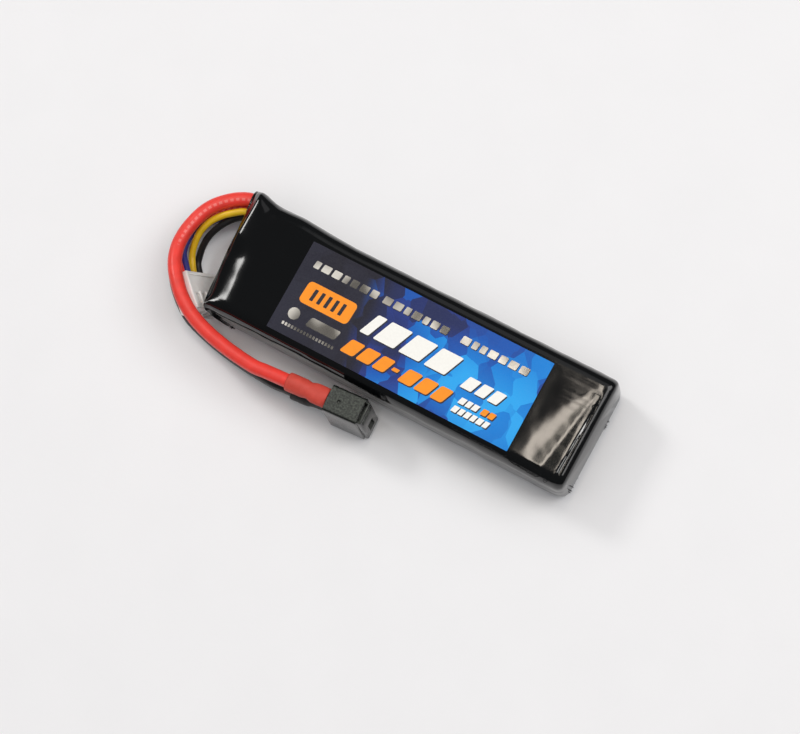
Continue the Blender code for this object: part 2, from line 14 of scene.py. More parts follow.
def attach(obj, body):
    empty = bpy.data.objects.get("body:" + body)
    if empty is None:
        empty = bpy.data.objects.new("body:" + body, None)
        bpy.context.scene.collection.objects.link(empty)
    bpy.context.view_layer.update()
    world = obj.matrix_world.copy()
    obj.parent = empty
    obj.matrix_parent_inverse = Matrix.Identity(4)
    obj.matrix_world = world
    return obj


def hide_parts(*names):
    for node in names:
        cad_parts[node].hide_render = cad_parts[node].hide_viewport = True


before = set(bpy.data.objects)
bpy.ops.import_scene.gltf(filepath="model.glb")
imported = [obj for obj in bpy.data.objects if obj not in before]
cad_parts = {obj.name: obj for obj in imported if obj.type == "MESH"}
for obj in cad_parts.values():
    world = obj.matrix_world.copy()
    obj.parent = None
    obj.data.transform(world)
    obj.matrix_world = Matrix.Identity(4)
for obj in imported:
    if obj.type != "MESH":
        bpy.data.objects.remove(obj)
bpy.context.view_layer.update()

MM = 0.001
BODY = "pack"

# ---- Sizes shared with the CAD model ----
PLAIN_END_X = 50.85
LEAD_END_X = -48.4
MOUTH_X = -50.85
NEAR_Y = -15.95
FAR_Y = 14.05
WRAP_MIDDLE_Y = (NEAR_Y + FAR_Y) / 2
WRAP_HALF_WIDTH = (FAR_Y - NEAR_Y) / 2
PACK_HEIGHT = 16.8
WRAP_WALL = 0.2
WRAP_UNDERCUT = 5.0
UNDERCUT_HEIGHT = 12.0
MOUTH_LOW = (7.2, 3.0)
MOUTH_HIGH = (15.95, 12.8)
MOUTH_CORNER = 3.2
MOUTH_MIDDLE = (11.5, 8.0)
MOUTH_SLANT = 0.15

LABEL_START = (-29.9, -13.3)
LABEL_LENGTH = 65.4
LABEL_WIDTH = 23.4
LABEL_BOTTOM = 16.82
LABEL_TOP = 16.92
INK_THICKNESS = 0.02

MAIN_LEAD = 3.5
BALANCE_LEAD = 1.75
POSITIVE_ROUTE = (
    (-43.4, 11.4, 10.0), (-44.6, 11.6, 10.0), (-47.2, 12.9, 10.1), (-50.7, 13.35, 10.2),
    (-54.5, 11.6, 10.5), (-58.0, 8.3, 10.9), (-59.9, 4.9, 11.4), (-60.9, 0.6, 12.0),
    (-61.0, -3.0, 12.7), (-60.3, -6.4, 13.6), (-58.6, -9.9, 14.5), (-55.8, -13.3, 15.1),
    (-52.3, -16.5, 15.2), (-48.0, -19.1, 14.9), (-42.5, -21.0, 14.5), (-36.0, -22.3, 14.1),
    (-29.0, -23.0, 13.8),
)
NEGATIVE_ROUTE = (
    (-43.4, 11.2, 5.6), (-44.6, 11.4, 5.6), (-47.6, 13.2, 5.6), (-51.2, 13.5, 5.6),
    (-55.6, 12.0, 5.2), (-60.0, 8.7, 4.6), (-62.6, 5.2, 4.0), (-63.9, 1.4, 3.4),
    (-64.3, -2.0, 2.8), (-64.0, -5.4, 2.3), (-62.6, -9.0, 2.0), (-60.2, -12.4, 1.9),
    (-56.8, -15.6, 1.9), (-52.6, -18.4, 1.9), (-47.0, -20.2, 2.1), (-40.0, -21.7, 2.7),
    (-32.0, -22.7, 3.8),
)
BALANCE_ROUTES = {
    "red": (
        (-43.4, 7.8, 8.0), (-44.6, 8.0, 8.0), (-47.4, 10.8, 8.0), (-50.8, 11.6, 8.0),
        (-54.6, 9.9, 8.1), (-57.4, 7.4, 8.2), (-59.9, 4.2, 8.5), (-61.5, 1.2, 8.8),
        (-62.0, -1.8, 9.2), (-61.6, -4.8, 9.6), (-60.8, -7.2, 10.0),
    ),
    "blue": (
        (-43.4, 6.0, 5.8), (-44.6, 6.1, 5.8), (-47.4, 8.6, 5.8), (-50.6, 9.6, 5.9),
        (-54.2, 8.4, 5.9), (-57.2, 6.2, 6.0), (-59.6, 3.6, 6.2), (-61.0, 0.8, 6.6),
        (-61.4, -2.2, 7.1), (-60.8, -4.8, 7.6), (-59.9, -6.5, 7.9),
    ),
    "yellow": (
        (-43.4, 6.2, 10.4), (-44.6, 6.7, 10.4), (-46.4, 8.5, 10.4), (-48.5, 9.95, 10.4),
        (-50.9, 9.9, 10.4), (-53.4, 8.4, 10.2), (-55.9, 6.4, 9.8), (-57.9, 3.9, 9.3),
        (-59.0, 1.2, 8.6), (-59.3, -1.6, 7.6), (-59.0, -4.2, 6.5), (-58.2, -6.2, 5.8),
    ),
    "black": (
        (-43.4, 5.2, 8.4), (-44.6, 5.6, 8.4), (-46.1, 7.0, 8.4), (-47.9, 8.5, 8.4),
        (-50.2, 9.1, 8.4), (-52.6, 8.0, 8.3), (-54.8, 5.6, 8.0), (-56.5, 2.8, 7.2),
        (-57.5, 0.2, 6.1), (-57.8, -2.4, 4.9), (-57.6, -4.6, 3.9), (-57.2, -6.1, 3.5),
    ),
}

# The dashes printed on a lead: their pitch, half their share of it, where they lie round the lead and half
# their width there, both in turns, and how strongly they show.
DASH_PITCH = 1.5
DASH_HALF = 0.28
DASH_TURN = 0.30
DASH_TURN_HALF = 0.03
DASH_STRENGTH = 0.28

T_PLUG_CORNER = Vector((-8.35, -22.35, 0.0))
T_PLUG_YAW = math.radians(3.9)
T_PLUG_LEAN = math.radians(-3.4)
T_BODY_LENGTH = 8.9
T_BODY_WIDTH = 6.8
T_FACE_LENGTH = 1.1
T_HEIGHT = 16.0
SLOT_WIDTH = 4.6
SLOT_HEIGHT = 2.2
SLOT_DEPTH = 9.0
CONTACTS = {"positive": (13.5, 0.0), "negative": (5.2, math.radians(90))}
SLEEVE_LENGTH = 11.0
SLEEVE_WALL = 0.3
LEAD_END_A = -6.6

BALANCE_CORNER = Vector((-55.6, -10.0, 13.75))
BALANCE_YAW = math.radians(-42)
BALANCE_LEAN = math.radians(65.4)
BALANCE_LENGTH = 9.8
BALANCE_WIDTH = 12.4
BALANCE_THICKNESS = 5.75
PIN_PITCH = 2.5
FIRST_PIN = (BALANCE_WIDTH - 3 * PIN_PITCH) / 2
PIN_CAVITY = 1.9
HERE = Matrix.Identity(4)


# ---- Camera ----
def add_camera():
    """Looks down on the pack from beyond its plain end, turned so that the pack runs across the picture."""
    azimuth, elevation, roll = (math.radians(angle) for angle in (-61.95, 75.27, -33.73))
    distance = 495.7 * MM
    target = Vector((1.54, -6.2, 8.0)) * MM
    ahead = Vector((
        math.sin(azimuth) * math.cos(elevation), math.cos(azimuth) * math.cos(elevation), -math.sin(elevation)
    ))
    level_right = ahead.cross(Vector((0, 0, 1))).normalized()
    level_up = level_right.cross(ahead)
    right = math.cos(roll) * level_right + math.sin(roll) * level_up
    up = math.cos(roll) * level_up - math.sin(roll) * level_right
    data = bpy.data.cameras.new("camera")
    data.sensor_fit = "HORIZONTAL"
    data.sensor_width = 36.0
    data.lens = 93.1
    camera = add_object("camera", data)
    turn = Matrix((right, up, -ahead)).transposed().to_4x4()
    camera.matrix_world = Matrix.Translation(target - distance * ahead) @ turn
    bpy.context.scene.camera = camera


# ---- Materials ----
class Look:
    """A Principled material and the nodes that vary it. Object coordinates are metres in the frame."""

    def __init__(self, name, colour, roughness, metallic=0.0, **sockets):
        self.data = bpy.data.materials.new(name)
        self.data.use_nodes = True
        self.tree = self.data.node_tree
        self.shader = self.tree.nodes["Principled BSDF"]
        self.put(self.shader, "Base Color", (*colour, 1.0))
        self.put(self.shader, "Roughness", roughness)
        self.put(self.shader, "Metallic", metallic)
        for socket, value in sockets.items():
            self.put(self.shader, socket.replace("_", " "), value)

    def put(self, node, socket, value):
        target = node.inputs[socket]
        if isinstance(value, bpy.types.NodeSocket):
            self.tree.links.new(value, target)
        else:
            target.default_value = value

    def node(self, kind, settings=None, inputs=None):
        made = self.tree.nodes.new(kind)
        for name, value in (settings or {}).items():
            setattr(made, name, value)
        for socket, value in (inputs or {}).items():
            self.put(made, socket, value)
        return made

    def place(self):
        return self.node("ShaderNodeTexCoord").outputs["Object"]

    def axes(self, vector):
        return self.node("ShaderNodeSeparateXYZ", inputs={"Vector": vector}).outputs

    def stretched(self, scale, rotation=(0, 0, 0), location=(0, 0, 0)):
        mapping = self.node("ShaderNodeMapping", inputs={"Vector": self.place()})
        mapping.inputs["Scale"].default_value = scale
        mapping.inputs["Rotation"].default_value = rotation
        mapping.inputs["Location"].default_value = location
        return mapping.outputs["Vector"]

    def noise(self, size_mm, detail=3.0, vector=None):
        """Smooth noise from 0 to 1 whose features are about size_mm across."""
        made = self.node(
            "ShaderNodeTexNoise",
            inputs={"Vector": vector or self.place(), "Scale": 1000.0 / size_mm, "Detail": detail},
        )
        return made.outputs["Fac"]

    def math(self, operation, first, second=0.0, third=0.0):
        made = self.node("ShaderNodeMath", {"operation": operation}, {0: first, 1: second, 2: third})
        return made.outputs["Value"]

    def fit(self, value, low, high, out_low=0.0, out_high=1.0, smooth=False):
        """Carries a value's range low to high onto another range, held at its ends."""
        made = self.node(
            "ShaderNodeMapRange", {"interpolation_type": "SMOOTHSTEP" if smooth else "LINEAR"},
            {"Value": value, "From Min": low, "From Max": high, "To Min": out_low, "To Max": out_high},
        )
        return made.outputs["Result"]

    def blend(self, amount, first, second):
        made = self.node("ShaderNodeMix", {"data_type": "RGBA"}, {0: amount})
        for index, colour in ((6, first), (7, second)):
            value = colour if isinstance(colour, bpy.types.NodeSocket) else (*colour, 1.0)
            self.put(made, index, value)
        return made.outputs[2]

    def vary_colour(self, amount, first, second):
        self.put(self.shader, "Base Color", self.blend(amount, first, second))

    def vary_roughness(self, amount, low, high):
        self.put(self.shader, "Roughness", self.fit(amount, 0.25, 0.75, low, high))

    def bump(self, height, depth_mm):
        """Raises the surface by depth_mm where height goes from 0 to 1."""
        inputs = {"Height": height, "Distance": depth_mm * MM, "Strength": 1.0}
        self.put(self.shader, "Normal", self.node("ShaderNodeBump", inputs=inputs).outputs["Normal"])


def plain_look(name, colour, roughness, metallic=0.0, grain_mm=0.6, depth_mm=0.02, spread=0.25, **sockets):
    """A material whose colour, gloss and surface vary with one grain size."""
    look = Look(name, colour, roughness, metallic, **sockets)
    grain = look.noise(grain_mm)
    darker = [channel * (1 - spread) for channel in colour]
    look.vary_colour(look.fit(grain, 0.3, 0.7), darker, colour)
    look.vary_roughness(grain, roughness * 0.85, min(1.0, roughness * 1.2))
    look.bump(grain, depth_mm)
    return look.data


def film_look():
    """Shrink wrap: near-black gloss, with rubbed patches and fine scratches along it at the plain end."""
    look = Look("wrap_film", (0.004, 0.0045, 0.005), 0.12, Specular_IOR_Level=0.5)
    patches = look.noise(14.0, 2.0)
    scratches = look.noise(1.0, 4.0, look.stretched((0.05, 1.0, 0.3)))
    rubbed = look.math("MULTIPLY", look.fit(patches, 0.42, 0.62), look.fit(scratches, 0.45, 0.62))
    at_plain_end = look.fit(look.axes(look.place())["X"], 0.034, 0.042, 0.12, 1.0)
    rubbed = look.math("MULTIPLY", rubbed, at_plain_end)
    look.put(look.shader, "Roughness", look.fit(rubbed, 0.0, 1.0, 0.1, 0.17))
    look.bump(look.noise(6.0, 1.0), 0.02)
    return look.data


def label_look():
    """The label's printed ground: charcoal at one end, then blue facets that brighten to a glow."""
    look = Look("label_ground", (0.02, 0.03, 0.1), 0.32, Specular_IOR_Level=0.12)
    parts = look.axes(look.place())
    x, y = parts["X"], parts["Y"]

    def spot(centre, reach):
        """1 at a centre and 0 at its reach along x and y, all in millimetres."""
        scale = (1 / (reach[0] * MM), 1 / (reach[1] * MM), 0.0)
        place = look.stretched(scale, location=(-centre[0] / reach[0], -centre[1] / reach[1], 0.0))
        made = look.node("ShaderNodeTexGradient", {"gradient_type": "SPHERICAL"}, {"Vector": place})
        return made.outputs["Fac"]

    facets = 0.0
    for size, turn, share, channel in ((8.5, 38, 0.55, "Red"), (5.0, 12, 0.45, "Green")):
        made = look.node(
            "ShaderNodeTexVoronoi", {"distance": "MANHATTAN", "voronoi_dimensions": "2D"},
            {"Vector": look.stretched((1.0, 0.72, 1.0), (0, 0, math.radians(turn))), "Scale": 1000.0 / size,
             "Randomness": 0.7},
        )
        shade = look.node("ShaderNodeSeparateColor", inputs={"Color": made.outputs["Color"]}).outputs[channel]
        facets = look.math("MULTIPLY_ADD", shade, share, facets)
    level = look.fit(facets, 0.2, 0.8, 0.0, 0.66)
    level = look.math("MULTIPLY_ADD", spot((17.6, -7.1), (32.0, 15.0)), 0.5, level)
    level = look.math("ADD", level, look.fit(x, -0.012, 0.035, -0.08, 0.14))
    level = look.math("MULTIPLY_ADD", spot((-1.0, -4.5), (20.0, 10.0)), -0.55, level)
    ramp = look.node("ShaderNodeValToRGB", inputs={"Fac": level})
    stops = ((0.0, (0.022, 0.03, 0.10)), (0.22, (0.022, 0.045, 0.235)), (0.45, (0.01, 0.10, 0.45)),
             (0.72, (0.007, 0.22, 0.68)), (1.0, (0.025, 0.38, 0.86)))
    ramp.color_ramp.elements[0].color = (*stops[0][1], 1)
    ramp.color_ramp.elements[1].position = 1.0
    ramp.color_ramp.elements[1].color = (*stops[-1][1], 1)
    for position, colour in stops[1:-1]:
        ramp.color_ramp.elements.new(position).color = (*colour, 1)
    charcoal = look.blend(look.fit(facets, 0.2, 0.8), (0.022, 0.021, 0.031), (0.028, 0.028, 0.044))
    along = look.math("MULTIPLY_ADD", facets, 0.006, look.math("MULTIPLY_ADD", y, 0.12, x))
    printed = look.blend(look.fit(along, -0.009, -0.003, smooth=True), charcoal, ramp.outputs["Color"])
    grain = look.fit(look.noise(0.3, 2.0), 0.3, 0.7, 0.0, 0.015)
    look.put(look.shader, "Base Color", look.blend(grain, printed, (0.6, 0.65, 0.7)))
    look.vary_roughness(look.noise(9.0), 0.28, 0.42)
    look.bump(look.noise(0.5, 2.0), 0.004)
    return look.data


def silver_look():
    """Metallic ink with a painted sheen: its colour shades between dark and light in broad bands along the
    label, standing in for reflections, and its gloss varies with the same bands.
    """
    look = Look("ink_silver", (0.7, 0.7, 0.68), 0.28, 0.9)
    painted_sheen_and_gloss_bands = look.noise(6.0, 0.0)
    # Painted sheen: the ink's colour runs from dark to light across broad bands, as reflections would.
    look.vary_colour(look.fit(painted_sheen_and_gloss_bands, 0.35, 0.65), (0.3, 0.29, 0.27), (0.82, 0.81, 0.77))
    look.vary_roughness(painted_sheen_and_gloss_bands, 0.22, 0.4)
    return look.data


def lead_look(name, colour, faint=None, marks=None):
    """Silicone insulation. marks is where a row of plain printed dashes runs, in metres along the lead."""
    look = Look(name, colour, 0.36, Specular_IOR_Level=0.5, Subsurface_Weight=0.08,
                Subsurface_Radius=(1.0, 0.25, 0.2), Subsurface_Scale=0.4 * MM)
    dust = look.noise(2.5)
    darker = tuple(channel * 0.86 for channel in colour)
    ground = look.blend(look.fit(dust, 0.3, 0.7), darker, colour)
    if marks:
        parts = look.axes(look.node("ShaderNodeTexCoord").outputs["UV"])
        along, round_it = parts["X"], parts["Y"]
        inside = look.math("MULTIPLY", look.math("GREATER_THAN", along, marks[0]),
                           look.math("LESS_THAN", along, marks[1]))
        step = look.math("FRACT", look.math("DIVIDE", along, DASH_PITCH * MM))
        dash = look.math("LESS_THAN", look.math("ABSOLUTE", look.math("SUBTRACT", step, 0.5)), DASH_HALF)
        turn = look.math("ABSOLUTE", look.math("SUBTRACT", round_it, DASH_TURN))
        band = look.math("LESS_THAN", turn, DASH_TURN_HALF)
        printed = look.math("MULTIPLY", look.math("MULTIPLY", inside, dash), band)
        ground = look.blend(look.math("MULTIPLY", printed, DASH_STRENGTH), ground, faint)
    look.put(look.shader, "Base Color", ground)
    look.vary_roughness(look.noise(1.2), 0.3, 0.44)
    look.bump(look.noise(1.5), 0.03)
    return look.data


def sleeve_look(name, colour):
    """Heat-shrink tube: matte, faintly rough, a little paler where it is stretched."""
    look = Look(name, colour, 0.58, Specular_IOR_Level=0.4)
    coarse, fine = look.noise(2.2), look.noise(0.22, 4.0)
    paler = tuple(min(1.0, channel * 1.12 + 0.01) for channel in colour)
    look.vary_colour(look.fit(coarse, 0.35, 0.7), colour, paler)
    look.vary_roughness(fine, 0.5, 0.68)
    look.bump(look.math("MULTIPLY_ADD", fine, 0.35, coarse), 0.06)
    return look.data


def plug_black_look():
    """Glass-filled nylon with a speckled grain. The flat faces carry painted light, a lighter speckled
    grey-green, and are matte; the sides keep the near-black colour and are glossy.
    """
    look = Look("plug_nylon_black", (0.03, 0.034, 0.03), 0.4, Specular_IOR_Level=0.5)
    speckle = look.noise(0.5, 4.0)
    facing = look.axes(look.node("ShaderNodeTexCoord").outputs["Normal"])
    # Faces that point up or down get painted light: their speckled colour is lighter than the near-black
    # sides.
    flat = look.fit(look.math("ABSOLUTE", facing["Z"]), 0.85, 0.98)
    matte = look.blend(look.fit(speckle, 0.38, 0.66), (0.02, 0.024, 0.02), (0.07, 0.08, 0.066))
    look.put(look.shader, "Base Color", look.blend(flat, (0.008, 0.009, 0.008), matte))
    look.put(look.shader, "Roughness", look.fit(flat, 0.0, 1.0, 0.16, 0.55))
    look.bump(speckle, 0.03)
    return look.data


def plug_white_look():
    look = Look("plug_nylon_white", (0.9, 0.87, 0.84), 0.42, Subsurface_Weight=0.25,
                Subsurface_Radius=(1.0, 0.9, 0.8), Subsurface_Scale=1.0 * MM)
    haze = look.noise(3.0)
    look.vary_colour(look.fit(haze, 0.3, 0.7), (0.86, 0.83, 0.8), (0.93, 0.91, 0.88))
    look.vary_roughness(haze, 0.36, 0.5)
    look.bump(look.noise(0.8), 0.015)
    return look.data


def floor_look():
    look = Look("floor_paper", (0.84, 0.84, 0.855), 0.7)
    mottle = look.noise(18.0)
    look.vary_colour(look.fit(mottle, 0.3, 0.7), (0.838, 0.838, 0.848), (0.85, 0.85, 0.86))
    look.bump(look.noise(0.9), 0.02)
    return look.data


# ---- Shapes ----
def add_object(name, data):
    made = bpy.data.objects.new(name, data)
    bpy.context.scene.collection.objects.link(made)
    return made


def add_piece(name, bm, look, replaced=(), smooth_angle=45, place=None):
    """Makes a piece from a bmesh in millimetres and lets it ride on the pack."""
    bmesh.ops.recalc_face_normals(bm, faces=bm.faces)
    bmesh.ops.scale(bm, vec=(MM, MM, MM), verts=bm.verts)
    mesh = bpy.data.meshes.new(name)
    bm.to_mesh(mesh)
    bm.free()
    mesh.materials.append(look)
    mesh.shade_smooth()
    mesh.set_sharp_from_angle(angle=math.radians(smooth_angle))
    piece = add_object(name, mesh)
    if place is not None:
        piece.matrix_world = place
    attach(piece, BODY)
    if replaced:
        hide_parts(*replaced)
    return piece


def add_wall(piece, thickness):
    """Gives an open skin a wall that grows inwards, thickness in millimetres."""
    wall = piece.modifiers.new("wall", "SOLIDIFY")
    wall.thickness = thickness * MM
    wall.offset = -1.0


def in_metres(place):
    """A frame whose origin is given in millimetres, as a matrix in metres."""
    moved = place.copy()
    moved.translation = place.translation * MM
    return moved


def smooth_points(route, spacing):
    """Points at even spacing along a Catmull-Rom curve through the route's points."""
    knots = [Vector(point) for point in route]
    ends = [2 * knots[0] - knots[1], *knots, 2 * knots[-1] - knots[-2]]
    fine = []
    steps = 24
    for before, start, end, after in zip(ends, ends[1:], ends[2:], ends[3:]):
        for step in range(steps):
            t = step / steps
            fine.append(
                0.5 * (2 * start + (end - before) * t
                       + (2 * before - 5 * start + 4 * end - after) * t**2
                       + (3 * start - before - 3 * end + after) * t**3)
            )
    fine.append(knots[-1])
    lengths = [0.0]
    for first, second in zip(fine, fine[1:]):
        lengths.append(lengths[-1] + (second - first).length)
    count = max(2, round(lengths[-1] / spacing))
    points = []
    index = 0
    for step in range(count + 1):
        wanted = lengths[-1] * step / count
        while index < len(lengths) - 2 and lengths[index + 1] < wanted:
            index += 1
        share = (wanted - lengths[index]) / (lengths[index + 1] - lengths[index])
        points.append(fine[index].lerp(fine[index + 1], share))
    return points


def skin(bm, rings, caps=True):
    """Adds a closed skin through rings of the same number of points."""
    loops = [[bm.verts.new(point) for point in ring] for ring in rings]
    for first, second in zip(loops, loops[1:]):
        for index in range(len(first)):
            following = (index + 1) % len(first)
            bm.faces.new((first[index], first[following], second[following], second[index]))
    if caps:
        bm.faces.new(loops[0])
        bm.faces.new(loops[-1])
    return loops


def sweep(bm, points, radius, segments):
    """Adds a round tube along points. Its UVs are the distance along it, in metres, and the turn round it."""
    rings = []
    travelled = [0.0]
    for first, second in zip(points, points[1:]):
        travelled.append(travelled[-1] + (second - first).length)
    for index, point in enumerate(points):
        before, after = points[max(0, index - 1)], points[min(len(points) - 1, index + 1)]
        ahead = (after - before).normalized()
        side = ahead.cross(Vector((0, 0, 1))).normalized()
        up = side.cross(ahead)
        size = radius(index / (len(points) - 1)) if callable(radius) else radius
        turns = [2 * math.pi * step / segments for step in range(segments)]
        rings.append([point + size * (math.cos(t) * side + math.sin(t) * up) for t in turns])
    loops = skin(bm, rings)
    layer = bm.loops.layers.uv.verify()
    place = {vert: (index, step) for index, ring in enumerate(loops) for step, vert in enumerate(ring)}
    for face in bm.faces:
        steps = [place[corner.vert][1] for corner in face.loops if corner.vert in place]
        wraps = len(steps) == 4 and max(steps) - min(steps) > 1
        for corner in face.loops:
            if corner.vert in place:
                index, step = place[corner.vert]
                turn = 1.0 if wraps and step == 0 else step / segments
                corner[layer].uv = (travelled[index] * MM, turn)


def t_plug_frame():
    lift = T_BODY_WIDTH / 2 * math.sin(abs(T_PLUG_LEAN)) + 0.02
    place = Matrix.Translation(T_PLUG_CORNER + Vector((0, 0, lift)))
    return place @ Matrix.Rotation(T_PLUG_YAW, 4, "Z") @ Matrix.Rotation(T_PLUG_LEAN, 4, "X")


def contact_frame(pole):
    height, turn = CONTACTS[pole]
    return t_plug_frame() @ Matrix.Translation((0, 0, height)) @ Matrix.Rotation(turn, 4, "X")


def balance_frame():
    place = Matrix.Translation(BALANCE_CORNER) @ Matrix.Rotation(BALANCE_YAW, 4, "Z")
    return place @ Matrix.Rotation(-BALANCE_LEAN, 4, "X")


# ---- Leads ----
def add_lead(name, route, diameter, look):
    """A lead from the board to its plug."""
    bm = bmesh.new()
    points = smooth_points(route, diameter * 0.35)
    sweep(bm, points, diameter / 2, 28)
    piece = add_piece(f"{name}_insulation", bm, look, [name], smooth_angle=60)


def add_leads():
    looks = {
        "red": lead_look("silicone_red", (0.9, 0.055, 0.04), (1.0, 0.45, 0.4), (0.007, 0.032)),
        "black": lead_look("silicone_black", (0.012, 0.012, 0.013)),
        "blue": lead_look("silicone_blue", (0.035, 0.04, 0.26)),
        "yellow": lead_look("silicone_yellow", (0.78, 0.5, 0.01)),
    }
    main = {"positive": (POSITIVE_ROUTE, "red", 0.0845), "negative": (NEGATIVE_ROUTE, "black", 0.0905)}
    for pole, (route, colour, length) in main.items():
        place = contact_frame(pole)
        end = [place @ Vector((a, 0, 0)) for a in (-17.0, -13.8, -10.2, LEAD_END_A)]
        add_lead(
            f"main_lead_{pole}", [*route, *end], MAIN_LEAD, looks[colour],
        )
    place = balance_frame()
    for pin, (colour, route) in enumerate(BALANCE_ROUTES.items()):
        across = FIRST_PIN + pin * PIN_PITCH
        end = [place @ Vector((a, across, -BALANCE_THICKNESS / 2)) for a in (-1.6, 0.4, 1.9)]
        add_lead(
            f"balance_lead_{colour}", [*route, *end], BALANCE_LEAD, looks[colour],
        )


# ---- Shrink wrap ----
FILM_CORNER = 3.5
# The slope at the lead end: where it starts, how far that shifts at the near side, its bend and curvature.
LEAD_SLOPE_X = -39.7
LEAD_SLOPE_SKEW = 0.9
LEAD_SLOPE_BEND = 8.4
LEAD_SLOPE_CURVE = 0.05
# The hollow at the plain end: the share of its length that bends, its curvature and the crease behind it.
HOLLOW_BEND = 0.75
HOLLOW_CURVE = 0.048
CREASE_X = 47.8
CREASE_WIDTH = 0.9
# The beads follow the film down over the plain end from here on.
BEAD_FALL_X = 49.0
# x, how far the far side stands out, how far the section is drawn in, and its corner radius
WRAP_STATIONS = (
    (LEAD_END_X, 1.85, 1.2, 2.2), (LEAD_END_X + 0.6, 1.9, 0.14, 2.8), (-46.4, 1.7, 0.05, FILM_CORNER),
    *((x, bulge, 0.0, FILM_CORNER) for x, bulge in (
        (-44.8, 1.1), (-43.0, 0.6), (-40.0, 0.7), (-35.0, 0.9), (-28.0, 0.3), (-20.0, 0.0), (10.0, 0.0),
        (PLAIN_END_X - 2.0, 0.0),
    )),
    (PLAIN_END_X - 1.2, 0.0, 0.2, FILM_CORNER), (PLAIN_END_X - 0.3, -0.6, 0.9, 2.2),
    (PLAIN_END_X, -1.6, 2.0, 1.6),
)
ARC_STEPS = 8
LONG_SIDE_STEPS = 60
SHORT_SIDE_STEPS = 26
COLLAR_RINGS = 14
CLOSING_LENGTH = 3.5
CLOSING_RINGS = 22


def ease(value):
    """Rises smoothly from 0 to 1 as value does."""
    value = min(1.0, max(0.0, value))
    return value * value * (3 - 2 * value)


def fall_off(distance, width):
    """A smooth hump: 1 at no distance and near 0 beyond the width."""
    return math.exp(-(distance / width) ** 2)


def outline(low, high, corner):
    """A rounded rectangle as (y, z) pairs, closely and evenly stepped along its sides."""
    left, right = low[0] + corner, high[0] - corner
    bottom, top = low[1] + corner, high[1] - corner
    centres = (
        (right, top, 0, LONG_SIDE_STEPS), (left, top, 90, SHORT_SIDE_STEPS),
        (left, bottom, 180, LONG_SIDE_STEPS), (right, bottom, 270, SHORT_SIDE_STEPS),
    )
    points = []
    for index, (y, z, start, steps) in enumerate(centres):
        for step in range(ARC_STEPS + 1):
            angle = math.radians(start + 90 * step / ARC_STEPS)
            points.append((y + corner * math.cos(angle), z + corner * math.sin(angle)))
        next_y, next_z, next_start, _ = centres[(index + 1) % 4]
        angle = math.radians(next_start)
        goal = (next_y + corner * math.cos(angle), next_z + corner * math.sin(angle))
        last = points[-1]
        for step in range(1, steps):
            share = step / steps
            points.append((last[0] + (goal[0] - last[0]) * share, last[1] + (goal[1] - last[1]) * share))
    return points


def station(x):
    """The wrap's section at x, blended smoothly from the stations on each side."""
    reach = min(1.6, (x - LEAD_END_X) * 0.5, (PLAIN_END_X - x) * 0.5)
    total = [0.0, 0.0, 0.0]
    samples = 9
    for sample in range(samples):
        at = x + reach * (2 * sample / (samples - 1) - 1)
        for before, after in zip(WRAP_STATIONS, WRAP_STATIONS[1:]):
            if at <= after[0] + 1e-9:
                share = max(0.0, (at - before[0]) / (after[0] - before[0]))
                for index in range(3):
                    total[index] += before[index + 1] + (after[index + 1] - before[index + 1]) * share
                break
    return [value / samples for value in total]


def film_offset(x, y, z):
    """How the shrunk film dips and creases, in millimetres, away from its plain shape. Dips point inwards."""
    top = ease((z - 14.5) / 2.0)
    clear_of_label = 1 - ease((x + 33) / 3) * ease((38 - x) / 3)
    # The film slopes down towards the lead end over its near half.
    past = max(0.0, LEAD_SLOPE_SKEW * ease((-y - 1) / 11) + LEAD_SLOPE_X - x)
    bend = min(past, LEAD_SLOPE_BEND)
    near_half = ease((y + 15.5) / 3) * (1 - 0.85 * ease((y + 2) / 6))
    drop = LEAD_SLOPE_CURVE * bend * (past - bend / 2) * near_half
    # A hollow in front of the plain end, long at the near side and short at the far side. Past it the film
    # runs level to a crease.
    across = min(1.0, max(0.0, (y + 13) / 20))
    start, end = 35.6 + 9.6 * across ** 2, 44.0 + 3.4 * across
    share = min(1.0, max(0.0, (x - start) / (end - start)))
    bend = min(share, HOLLOW_BEND)
    hollow = HOLLOW_CURVE * (end - start) * (bend ** 2 + 2 * HOLLOW_BEND * (share - bend))
    hollow *= 1 - ease((x - CREASE_X - 0.5 * across) / CREASE_WIDTH)
    drop += hollow * ease((y + 14.8) / 1.2) * (1 - ease((y - 8) / 1.5))
    # The pocket behind the collar.
    drop += 0.35 * fall_off(x + 43.6, 1.8) * fall_off(y - 13.2, 2.6)
    wave = noise.noise(Vector((x * 0.16, y * 0.2, z * 0.2)))
    fine = noise.noise(Vector((x * 0.55, y * 0.5, 7.0)))
    drop += clear_of_label * (0.03 + 0.035 * wave + 0.006 * fine)
    sides = (1 - top) * (0.10 * noise.noise(Vector((x * 0.22, 3.0, z * 0.35)))
                         + 0.04 * noise.noise(Vector((x * 0.8, 9.0, z * 0.5))))
    # The sides bulge at mid height, so they lean in towards the top and the bottom.
    lean = 0.55 * max(0.0, (z - 7.5) / 9.3) ** 2 + 0.5 * max(0.0, (5.0 - z) / 5.0) ** 2
    return top * drop, sides + lean + 0.05 * (1 - top)


def undercut(x, y, z):
    """Draws the lead end in under its top edge, away from the mouth."""
    along = 1 - ease((x + 46) / 12)
    across = 1 - ease((y + 1) / 7)
    down = max(0.0, 1 - z / UNDERCUT_HEIGHT)
    return x + WRAP_UNDERCUT * along * across * down


def corner_pull(x, y):
    """How far the lead end's near corner is pulled, in millimetres along and across."""
    at_end = ease((-45.5 - x) / 3)
    return 1.2 * at_end * ease((-y - 2) / 13), -0.9 * at_end * ease((-y - 12) / 3)


